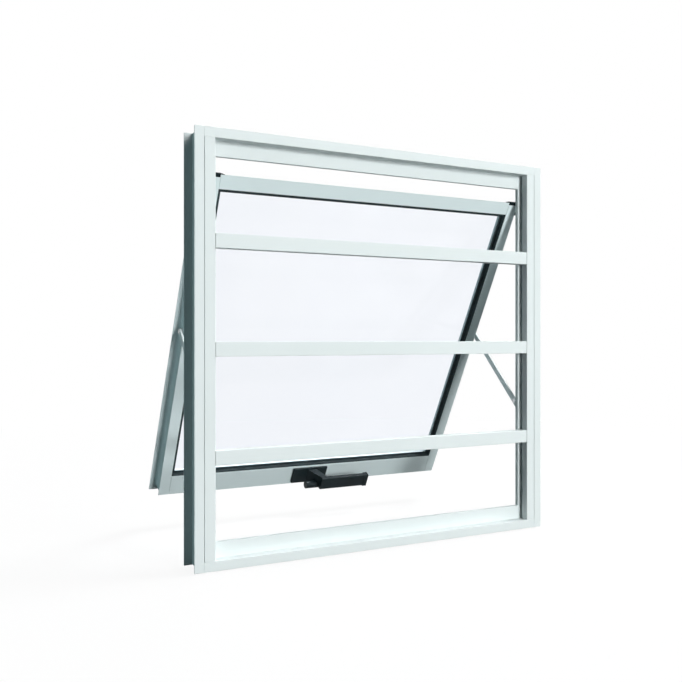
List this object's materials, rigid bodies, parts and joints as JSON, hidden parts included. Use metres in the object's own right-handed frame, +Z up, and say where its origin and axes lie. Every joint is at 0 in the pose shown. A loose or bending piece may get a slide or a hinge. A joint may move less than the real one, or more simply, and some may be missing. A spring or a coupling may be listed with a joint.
{
  "type": "top hung awning window",
  "caption": "White aluminium top hung window, sash projected open on stay arms, with a black lever handle and a guard of horizontal bars on the room side.",
  "frame": {"origin": "middle of the sill's front flange, on the back face that lies against the wall", "axes": "+X across the window, +Y outward from the room through the wall, +Z up"},
  "size_m": [0.6, 0.302, 0.6],
  "materials": {
    "white_aluminium": "white powder coat, satin",
    "clear_glass": "clear, smooth",
    "black_rubber": "matte black extrusion",
    "black_plastic": "fine moulded texture",
    "arm_aluminium": "white coat on bar",
    "steel_pins": "turned rivet heads"
  },
  "bodies": {
    "root": {"frame_head": "white_aluminium", "frame_sill": "white_aluminium", "frame_left_jamb": "white_aluminium", "frame_right_jamb": "white_aluminium", "guard_left_stile": "white_aluminium", "guard_right_stile": "white_aluminium", "guard_bar_1": "white_aluminium", "guard_bar_2": "white_aluminium", "guard_bar_3": "white_aluminium", "sash_left_stile": "white_aluminium", "sash_right_stile": "white_aluminium", "sash_top_rail": "white_aluminium", "sash_bottom_rail": "white_aluminium", "sash_glass": "clear_glass", "glazing_gasket_top": "black_rubber", "glazing_gasket_bottom": "black_rubber", "glazing_gasket_left": "black_rubber", "glazing_gasket_right": "black_rubber", "stile_cap_left": "black_plastic", "stile_cap_right": "black_plastic", "slider_shoe_left": "black_plastic", "slider_shoe_right": "black_plastic", "handle_plate": "black_plastic", "handle_lever": "black_plastic", "stay_arm_left": "arm_aluminium", "stay_arm_right": "arm_aluminium", "stay_jamb_pin_left": "steel_pins", "stay_jamb_pin_right": "steel_pins", "stay_sash_pin_left": "steel_pins", "stay_sash_pin_right": "steel_pins"}
  },
  "joints": []
}
